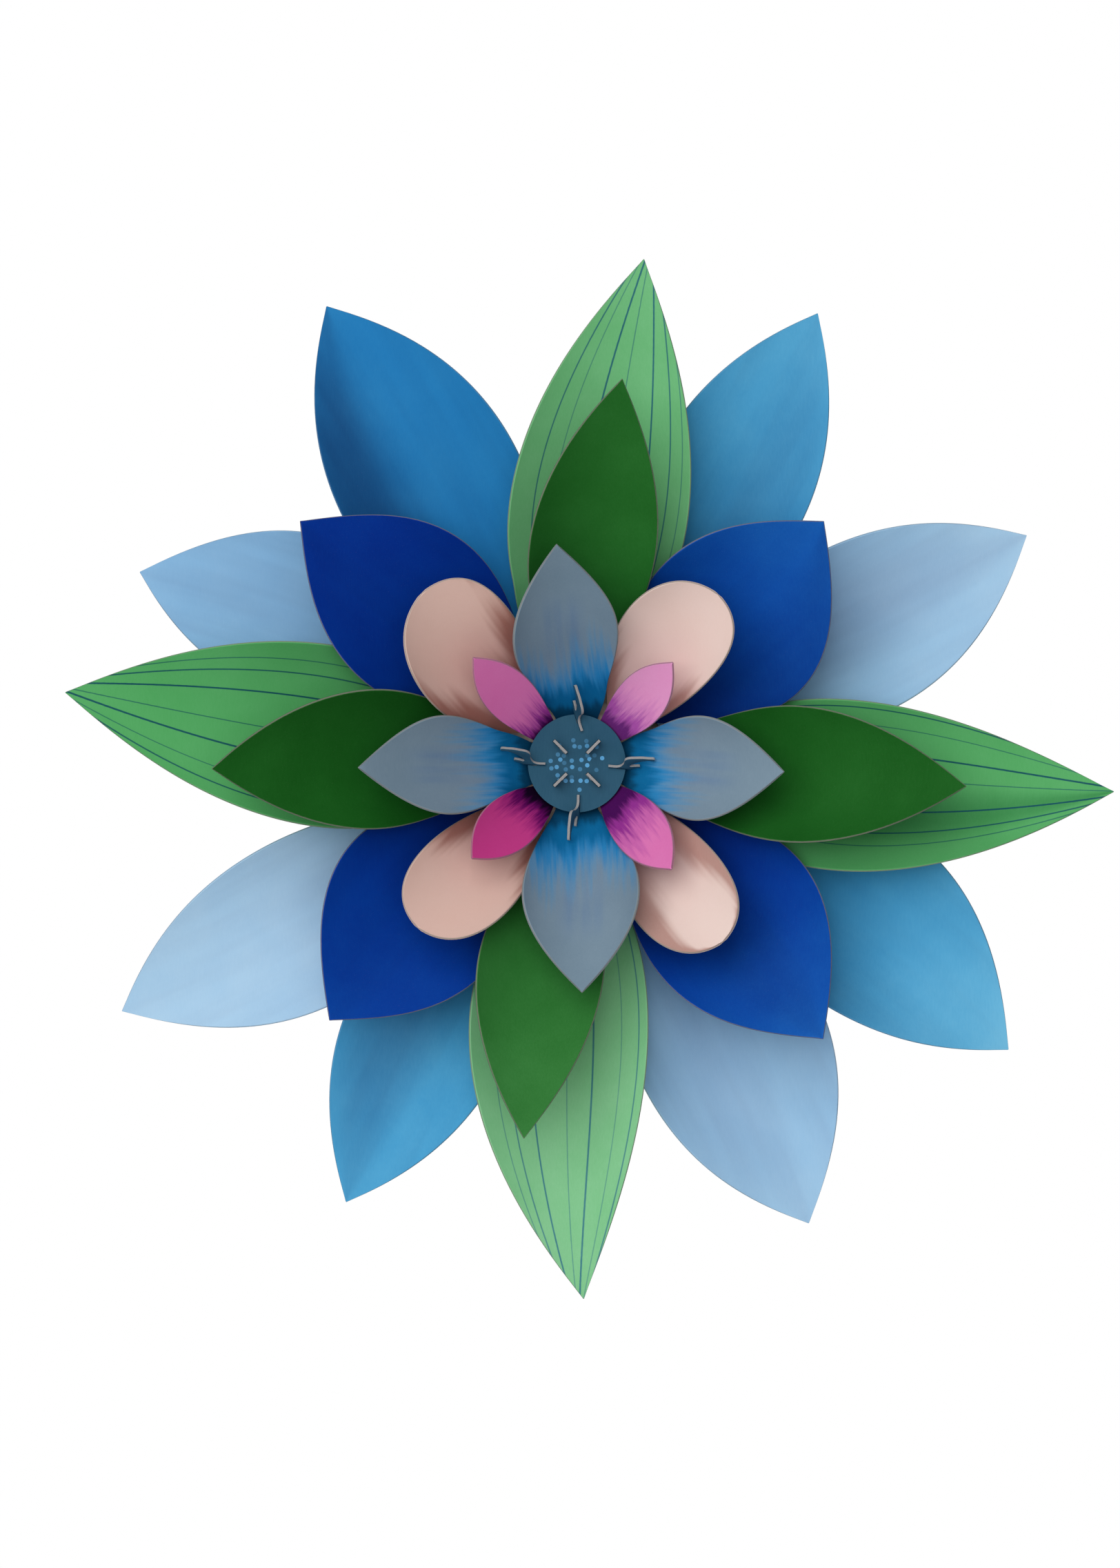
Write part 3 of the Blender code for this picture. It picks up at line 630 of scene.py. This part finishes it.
print("petals:", sum(len(ring.petals) for ring in RINGS))

# %% [markdown]
# ## Petals: from flat card to bent petal
# A real petal is die-cut, pushed through its slot until the tail lies flat behind the hub, then curled.
# Cloth or bend modifiers could curl it, but they wouldn't meet the solid underneath.
# So a fine grid is added, and a short formula carries each of its points from the flat outline to its place.
# The outline is one cubic curve on each side, which gives the smooth edge of a die.
# The die also presses the card thinner where it cuts, so the edge is half as thick as the rest.

# %% Bending formula
CARD = 2.0                   # thickness of the card, mm
FIT = 0.3                    # gap between pieces, mm
TAIL_SHARE = 0.22            # length of a tail, as a share of its slot's radius
TAIL_TAPER = 0.6             # width of a tail's end, as a share of its width in the slot
NECK_SHARE = 0.25            # share of the blade over which its curve sets in
NEARLY_FLAT = 1e-4           # share of the curve that is left in the slot, so that it has a radius
TIP_HALF = 0.25              # a die cuts no sharper tip than this, mm
PRESSED = 0.5                # share of the thickness that the die leaves at the edge
HUBS = (1, 2, 3, 4)


def ease(value):
    value = min(max(value, 0.0), 1.0)
    return value * value * (3 - 2 * value)


def hub_depths(hub):
    """Depth of the tails behind a hub and of the blades in front of it, mm from the wall."""
    low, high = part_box(f"hub_{hub}")
    return -high[1] / MM - FIT - CARD / 2, -low[1] / MM + FIT + CARD / 2


HUB_DEPTHS = {hub: hub_depths(hub) for hub in HUBS}


def outline_point(ring, t):
    (first_at, first_half), (last_at, last_half) = ring.handles
    first, last = 3 * (1 - t) ** 2 * t, 3 * (1 - t) * t ** 2
    along = ring.length * (first * first_at + last * last_at + t ** 3)
    half = (1 - t) ** 3 * ring.root + first * first_half + last * last_half
    return along, max(half, TIP_HALF)


def blade_point(ring, petal, along, across):
    """Where a point of the flat blade comes to: radius, side and depth."""
    share = along / ring.length
    bend = ease(share / NECK_SHARE)
    along *= petal.length
    across *= 1 + (petal.width - 1) * bend
    curve = max(bend, NEARLY_FLAT) / ring.cup
    side = sin(curve * across) / curve + petal.bow * ring.length * 4 * share * (1 - share)
    rise = (1 - cos(curve * across)) / curve
    roll, lean = radians(petal.roll) * bend, radians(petal.lean) * bend
    side, rise = side * cos(roll) - rise * sin(roll), side * sin(roll) + rise * cos(roll)
    pitch = radians(ring.pitch + petal.pitch)
    out, depth = along * cos(pitch) - rise * sin(pitch), along * sin(pitch) + rise * cos(pitch)
    out, side = out * cos(lean) - side * sin(lean), out * sin(lean) + side * cos(lean)
    return ring.slot_radius + out, side, depth


print("tails and blades in mm:", {hub: [round(depth, 1) for depth in HUB_DEPTHS[hub]] for hub in HUB_DEPTHS})

# %% Make one petal
ROWS = 64                    # faces along a blade
COLUMNS = 24                 # faces across a petal
GRID_BORDER = 0.999          # points beyond this are on the border of the grid, which runs from -1 to 1
BASE_SHADE_MIDDLE = 0.6            # share of the length at which a petal with painted shade towards its slot has just its own ink
SHARP_ANGLE = 38             # degrees


def apply_modifier(piece, kind, **settings):
    """Adds a modifier to a piece with the given settings and applies it."""
    bpy.context.view_layer.objects.active = piece
    bpy.ops.object.modifier_add(type=kind)
    modifier = piece.modifiers[-1]
    for name, value in settings.items():
        setattr(modifier, name, value)
    bpy.ops.object.modifier_apply(modifier=modifier.name)


def finish_piece(piece, name, node):
    """Sharpens the cut edges, and puts the piece in the place of its solid."""
    deselect_all()
    piece.select_set(True)
    bpy.context.view_layer.objects.active = piece
    bpy.ops.object.shade_smooth_by_angle(angle=radians(SHARP_ANGLE))
    piece.name = name
    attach(piece, "root")
    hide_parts(node)


def petal_point(ring, petal, row, across):
    """A point of the petal, and where it is on the flat shape."""
    tail, blade = HUB_DEPTHS[ring.hub]
    if row == 0:
        reach = ring.slot_radius * TAIL_SHARE
        return (ring.slot_radius - reach, across * ring.root * TAIL_TAPER, tail), (-reach, ring.root)
    if row == 1:
        return (ring.slot_radius, across * ring.root, tail), (-1.0, ring.root)
    along, half = outline_point(ring, (row - 2) / ROWS)
    out, side, depth = blade_point(ring, petal, along, across * half)
    return (out, side, blade + depth), (along, half)


def make_petal(ring, petal):
    slot = petal.slot or ring.slot
    deselect_all()
    bpy.ops.mesh.primitive_grid_add(x_subdivisions=ROWS + 2, y_subdivisions=COLUMNS, size=2.0)
    piece = bpy.context.object
    inner = [point.index for point in piece.data.vertices if max(map(abs, point.co)) < GRID_BORDER]
    piece.vertex_groups.new(name="unpressed").add(inner, 1.0, "REPLACE")
    for attribute, kind in (("flat", "FLOAT_VECTOR"), ("print", "FLOAT_VECTOR"), ("ink_and_shade_depth", "FLOAT")):
        piece.data.attributes.new(attribute, kind, "POINT")
    flat, printed, ink_and_shade_depth = (piece.data.attributes[name].data for name in ("flat", "print", "ink_and_shade_depth"))
    turn = Matrix.Rotation(-radians(petal.azimuth), 4, "Y")
    for point in piece.data.vertices:
        row, across = round((point.co.x + 1) / 2 * (ROWS + 2)), sin(point.co.y * pi / 2)
        (out, side, depth), (along, half) = petal_point(ring, petal, row, across)
        flat[point.index].vector = (along * MM, across, half * MM)
        # The print attribute also holds where the painted shade lies and how strong it is.
        printed[point.index].vector = (petal.shift * MM, petal.lie, petal.amount)
        # Painted shade: the ink is thicker on a petal that faces away from the light, and towards the slot
        # on some.
        ink_and_shade_depth[point.index].value = petal.ink * (1 + petal.fade * (BASE_SHADE_MIDDLE - along / ring.length))
        point.co = turn @ Vector((out, -depth, side)) * MM
    for material in (fronts[slot], backs[slot], edges[slot]):
        piece.data.materials.append(material)
    apply_modifier(piece, "SOLIDIFY", thickness=CARD * MM, offset=0.0, use_even_offset=True,
                   use_quality_normals=True, material_offset=1, material_offset_rim=2,
                   vertex_group="unpressed", thickness_vertex_group=PRESSED)
    finish_piece(piece, petal.name + "_card", petal.name)
    return piece


for ring in RINGS:
    made = [make_petal(ring, petal) for petal in ring.petals]
    print(ring.slot, len(made), "petals of", len(made[0].data.polygons), "faces")

# %% [markdown]
# ## Hubs and back plate
# The hubs are round boards with one slot for each petal, and the back plate carries them all.
# A slot could be modelled by insetting faces. A board punched with boxes is closer to how it is made,
# and keeps the round edge clean.
# Faces that look to the front or the back are board, and what lies between them is cut core.

# %% Punched boards
BRACE_AZIMUTHS = (45, 135)
COLUMN_REACH = 16.0          # the braces reach this far out inside the hubs, mm
FOOT_INNER = 9.0             # and their feet start this far out, mm
SLOT_WIDTH = CARD + 2 * FIT
ROUND_SIDES = 160
PUNCH_DEPTH = 0.3            # metres, deeper than any board
FACING = 0.7                 # cosine from which a face counts as looking along an axis

board_face = core_card("board_face", paint(150, 140, 131), 0.5)


def round_board(node):
    """A round board on the axis, as wide and as deep as its solid."""
    low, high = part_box(node)
    deselect_all()
    bpy.ops.mesh.primitive_cylinder_add(
        vertices=ROUND_SIDES, radius=(high[0] - low[0]) / 2, depth=high[1] - low[1],
        location=(0.0, (low[1] + high[1]) / 2, 0.0), rotation=(pi / 2, 0.0, 0.0))
    board = bpy.context.object
    bpy.ops.object.transform_apply(location=True, rotation=True, scale=True)
    return board


def add_punch(radius, azimuth, length, width, turn=0.0, shift=0.0):
    """A box that punches a slot. The length runs out from the centre, all in mm."""
    spot = Matrix.Rotation(-radians(azimuth), 4, "Y") @ Vector((radius, 0.0, shift)) * MM
    bpy.ops.mesh.primitive_cube_add(size=1.0, location=spot, scale=(length * MM, PUNCH_DEPTH, width * MM),
                                    rotation=(0.0, -radians(azimuth + turn), 0.0))
    return bpy.context.object


def punch(board, punches):
    """Cuts the slots and takes the boxes away."""
    for box in punches:
        apply_modifier(board, "BOOLEAN", operation="DIFFERENCE", solver="EXACT", object=box)
        bpy.data.objects.remove(box, do_unlink=True)


def face_and_core(piece, face, depth_axis=Vector((0.0, 1.0, 0.0))):
    """Gives the printed face to what looks along the axis, and the core to the cut edges."""
    piece.data.materials.clear()
    piece.data.materials.append(face)
    piece.data.materials.append(cut_core)
    for polygon in piece.data.polygons:
        polygon.material_index = 0 if abs(polygon.normal.dot(depth_axis)) > FACING else 1


for hub in HUBS:
    board = round_board(f"hub_{hub}")
    slots = [add_punch(0.0, azimuth, 2 * (COLUMN_REACH + FIT), SLOT_WIDTH) for azimuth in BRACE_AZIMUTHS]
    slots += [add_punch(ring.slot_radius, petal.azimuth, SLOT_WIDTH, 2 * (ring.root + FIT))
              for ring in RINGS if ring.hub == hub for petal in ring.petals]
    punch(board, slots)
    face_and_core(board, board_face)
    finish_piece(board, f"hub_{hub}_card", f"hub_{hub}")
    print("hub", hub, "has", len(slots), "slots")

# %% Back plate
TIGHT = 0.05                 # the braces' feet fill their slots, so that no light comes through, mm
HOLE_RADIUS = 4.0
HOLE_INSET = 9.0             # from the plate's edge to the middle of the hanging hole, mm
HOLE_SIDES = 48

plate = round_board("back_plate")
plate_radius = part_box("back_plate")[1][0]
foot = COLUMN_REACH - FOOT_INNER
feet = [add_punch(FOOT_INNER + foot / 2, azimuth + half, foot + 2 * TIGHT, CARD + 2 * TIGHT)
        for azimuth in BRACE_AZIMUTHS for half in (0, 180)]
bpy.ops.mesh.primitive_cylinder_add(vertices=HOLE_SIDES, radius=HOLE_RADIUS * MM, depth=0.1,
                                    location=(0.0, 0.0, plate_radius - HOLE_INSET * MM),
                                    rotation=(pi / 2, 0.0, 0.0))
punch(plate, feet + [bpy.context.object])
face_and_core(plate, board_face)
finish_piece(plate, "back_plate_card", "back_plate")
print("back plate radius in mm:", round(plate_radius / MM, 1))

# %% [markdown]
# ## Centre disc
# The disc is teal card, pierced by the four prongs of the braces and slit at its rim for the stamens.
# Its face is printed with small light dots. Dots could be separate pieces, but they are ink.
# A Voronoi texture scatters them, and each cell keeps its whole dot or none, so no dot is cut in two.

# %% Dotted print
DOT_SPACING = 5.2 * MM
DOT_RADIUS = 1.55 * MM
DOT_BLUR = 0.08              # share of the radius
DOT_SCATTER = 0.75
DOTS_REACH = 19.0 * MM
DOTS_LEFT_OUT = 0.3          # share of the cells
FAINTEST_DOT = 0.25
DOT_INK = paint(96, 168, 214)


def dotted(tree, flat, ink):
    place = add_node(tree, "ShaderNodeTexCoord").outputs["Object"]
    parts = add_node(tree, "ShaderNodeSeparateXYZ", {0: place}).outputs
    plane = add_node(tree, "ShaderNodeCombineXYZ", {"X": parts["X"], "Y": parts["Z"]}).outputs[0]
    cells = add_node(tree, "ShaderNodeTexVoronoi", {"Vector": plane, "Scale": 1 / DOT_SPACING,
                                                    "Randomness": DOT_SCATTER}, voronoi_dimensions="2D")
    away = math_node(tree, "MULTIPLY", cells.outputs["Distance"], DOT_SPACING)
    dot = smooth_range(tree, away, DOT_RADIUS * (1 - DOT_BLUR), DOT_RADIUS * (1 + DOT_BLUR), 1.0, 0.0)
    middle = add_node(tree, "ShaderNodeVectorMath", {0: cells.outputs["Position"]}, operation="LENGTH")
    near = math_node(tree, "LESS_THAN", middle.outputs["Value"], DOTS_REACH)
    chance = add_node(tree, "ShaderNodeSeparateColor", {0: cells.outputs["Color"]}).outputs
    printed = math_node(tree, "GREATER_THAN", chance["Red"], DOTS_LEFT_OUT)
    strength = smooth_range(tree, chance["Green"], 0.0, 1.0, FAINTEST_DOT, 1.0)
    mask = math_node(tree, "MULTIPLY", math_node(tree, "MULTIPLY", dot, near),
                     math_node(tree, "MULTIPLY", printed, strength))
    return mix_colours(tree, mask, ink, DOT_INK)


disc_print = printed_card("disc_print", TEAL, dotted, on_petal=False)
print("dots of", DOT_RADIUS * 2 / MM, "mm")

# %% Disc
PRONG_INNER = 10.3           # all in mm
PRONG_OUTER = 23.0
SLIT_DEPTH = 3.3             # in from the rim
STAMEN_SEAT = 1.5            # a stamen turns about a point this far in from the rim


@dataclass
class Stamen:
    name: str
    azimuth: float
    shift: float             # to the side of its azimuth, mm
    turn: float              # degrees about the depth axis
    lean: float              # degrees to the side above its crease


STAMENS = (
    Stamen("stamen_n", 90, 0.0, 18, -22),
    Stamen("stamen_e", 0, -3.0, -4, 30),
    Stamen("stamen_s", 270, 1.0, -2, -24),
    Stamen("stamen_w", 180, 0.0, -4, -38),
)

disc_low, disc_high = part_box("centre_disc")
disc_radius = disc_high[0] / MM
disc_face, disc_rear = -disc_low[1] / MM, -disc_high[1] / MM
disc = round_board("centre_disc")
prong = PRONG_OUTER - PRONG_INNER
slits = [add_punch(PRONG_INNER + prong / 2, azimuth + half, prong + 2 * FIT, SLOT_WIDTH)
         for azimuth in BRACE_AZIMUTHS for half in (0, 180)]
slits += [add_punch(disc_radius - STAMEN_SEAT, stamen.azimuth,
                    2 * (SLIT_DEPTH + FIT + STAMEN_SEAT), SLOT_WIDTH, stamen.turn, stamen.shift)
          for stamen in STAMENS]
punch(disc, slits)
face_and_core(disc, disc_print)
finish_piece(disc, "centre_disc_card", "centre_disc")
print("disc radius and face in mm:", round(disc_radius, 1), round(disc_face, 1))

# %% [markdown]
# ## Braces and stamens
# Both are flat cards cut to an outline. The two braces cross and hold everything at its height,
# and the stamens hook into the rim of the disc and are creased to one side.
# An outline is quickest as a flat curve with a thickness, made a mesh. Corners are kept where a knife turns,
# and the free edge of a stamen is drawn as one smooth line.

# %% Cards cut to an outline
CARD_BEVEL = 0.12            # mm
WELD = 0.002                 # corners that are this close are one, mm


def cut_card(points, smooth=()):
    """A flat card from an outline in mm, out along X and depth along -Y. Smooth points have no corner."""
    curve = bpy.data.curves.new("outline", "CURVE")
    curve.dimensions = "2D"
    curve.fill_mode = "BOTH"
    curve.extrude = (CARD / 2 - CARD_BEVEL) * MM
    curve.bevel_depth = CARD_BEVEL * MM
    curve.offset = -CARD_BEVEL * MM
    curve.bevel_resolution = 1
    curve.resolution_u = 8
    spline = curve.splines.new("BEZIER")
    spline.bezier_points.add(len(points) - 1)
    spline.use_cyclic_u = True
    for number, (point, (out, depth)) in enumerate(zip(spline.bezier_points, points)):
        point.co = (out * MM, -depth * MM, 0.0)
        kind = "AUTO" if number in smooth else "VECTOR"
        point.handle_left_type = point.handle_right_type = kind
    piece = bpy.data.objects.new("cut_card", curve)
    bpy.context.scene.collection.objects.link(piece)
    deselect_all()
    piece.select_set(True)
    bpy.context.view_layer.objects.active = piece
    bpy.ops.object.convert(target="MESH")
    piece = bpy.context.object
    bpy.ops.object.mode_set(mode="EDIT")
    bpy.ops.mesh.select_all(action="SELECT")
    bpy.ops.mesh.remove_doubles(threshold=WELD * MM)
    bpy.ops.mesh.normals_make_consistent(inside=False)
    bpy.ops.object.mode_set(mode="OBJECT")
    face_and_core(piece, teal_face, Vector((0.0, 0.0, 1.0)))
    return piece


def settle(piece, matrix):
    """Moves a flat card to its place, in its mesh."""
    piece.data.transform(matrix)
    piece.data.update()


print("outline cutter ready")

# %% Braces
SHOULDER_REACH = 25.0        # mm from the axis
PRONG_HEIGHT = 10.0          # mm above the disc's face

plate_top = CARD + FIT
under_disc = disc_rear - FIT
shoulder = -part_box("hub_4")[0][1] / MM + FIT
lap = (plate_top + under_disc) / 2
notch = CARD / 2 + FIT


def brace_outline(open_to_front):
    back = [(FOOT_INNER, plate_top), (FOOT_INNER, 0.0)]
    front = [(COLUMN_REACH, 0.0), (COLUMN_REACH, shoulder), (SHOULDER_REACH, shoulder),
             (SHOULDER_REACH, under_disc), (PRONG_OUTER, under_disc),
             (PRONG_OUTER, disc_face + PRONG_HEIGHT), (PRONG_INNER, disc_face + PRONG_HEIGHT),
             (PRONG_INNER, under_disc)]
    if open_to_front:
        front += [(notch, under_disc), (notch, lap - FIT / 2)]
    else:
        back = [(notch, lap + FIT / 2), (notch, plate_top)] + back
    half = back + front
    return half + [(-out, depth) for out, depth in reversed(half)]


for number, azimuth in enumerate(BRACE_AZIMUTHS, 1):
    brace = cut_card(brace_outline(open_to_front=number == 1))
    settle(brace, Matrix.Rotation(-radians(azimuth), 4, "Y"))
    finish_piece(brace, f"brace_{number}_card", f"brace_{number}")
    print("brace", number, "faces:", len(brace.data.polygons))

# %% Stamens
STAMEN_CREASE = 1.2          # all in mm
HOOK_OUT = 1.5               # out from the rim
HOOK_REACH = 4.0             # in below the disc
HOOK_DROP = 2.2
LEDGE_LENGTH = 9.2
LEDGE_HEIGHT = 2.2
SPIKES = (                   # out from the disc's rim, then up from its face, mm
    (-5.0, 2.8), (-2.0, 7.0), (-0.5, 13.5), (7.0, 16.2), (14.5, 16.8), (20.0, 15.6), (14.5, 14.2),
    (8.0, 11.2), (3.5, 7.0), (2.8, 4.8), (6.5, 5.2), (10.0, 5.0), (6.5, 2.8))


def stamen_outline():
    slit_end = STAMEN_SEAT - SLIT_DEPTH
    outer = STAMEN_SEAT + HOOK_OUT
    under = -(CARD + FIT)
    ledge = [(slit_end, FIT), (slit_end - LEDGE_LENGTH, FIT), (slit_end - LEDGE_LENGTH, LEDGE_HEIGHT)]
    free = [(STAMEN_SEAT + out, height) for out, height in SPIKES]
    hook = [(outer, FIT), (outer, under - HOOK_DROP), (slit_end - HOOK_REACH, under - HOOK_DROP),
            (slit_end - HOOK_REACH, under), (slit_end, under)]
    return ledge + free + hook, range(len(ledge), len(ledge) + len(free))


def crease(piece, lean):
    """Folds what lies above the crease over to one side."""
    line = -STAMEN_CREASE * MM
    bpy.ops.object.mode_set(mode="EDIT")
    bpy.ops.mesh.select_all(action="SELECT")
    bpy.ops.mesh.bisect(plane_co=(0.0, line, 0.0), plane_no=(0.0, 1.0, 0.0))
    bpy.ops.object.mode_set(mode="OBJECT")
    fold = Matrix.Translation((0.0, line, 0.0))
    fold = fold @ Matrix.Rotation(-radians(lean), 4, "X") @ fold.inverted()
    for point in piece.data.vertices:
        if point.co.y < line - WELD / 2 * MM:
            point.co = fold @ point.co


for stamen in STAMENS:
    outline, smooth = stamen_outline()
    piece = cut_card(outline, smooth)
    crease(piece, stamen.lean)
    seat = Vector((disc_radius - STAMEN_SEAT, -disc_face, stamen.shift)) * MM
    seat = Matrix.Rotation(-radians(stamen.azimuth), 4, "Y") @ seat
    settle(piece, Matrix.Translation(seat) @ Matrix.Rotation(-radians(stamen.azimuth + stamen.turn), 4, "Y"))
    finish_piece(piece, stamen.name + "_card", stamen.name)
    print(stamen.name, "faces:", len(piece.data.polygons))
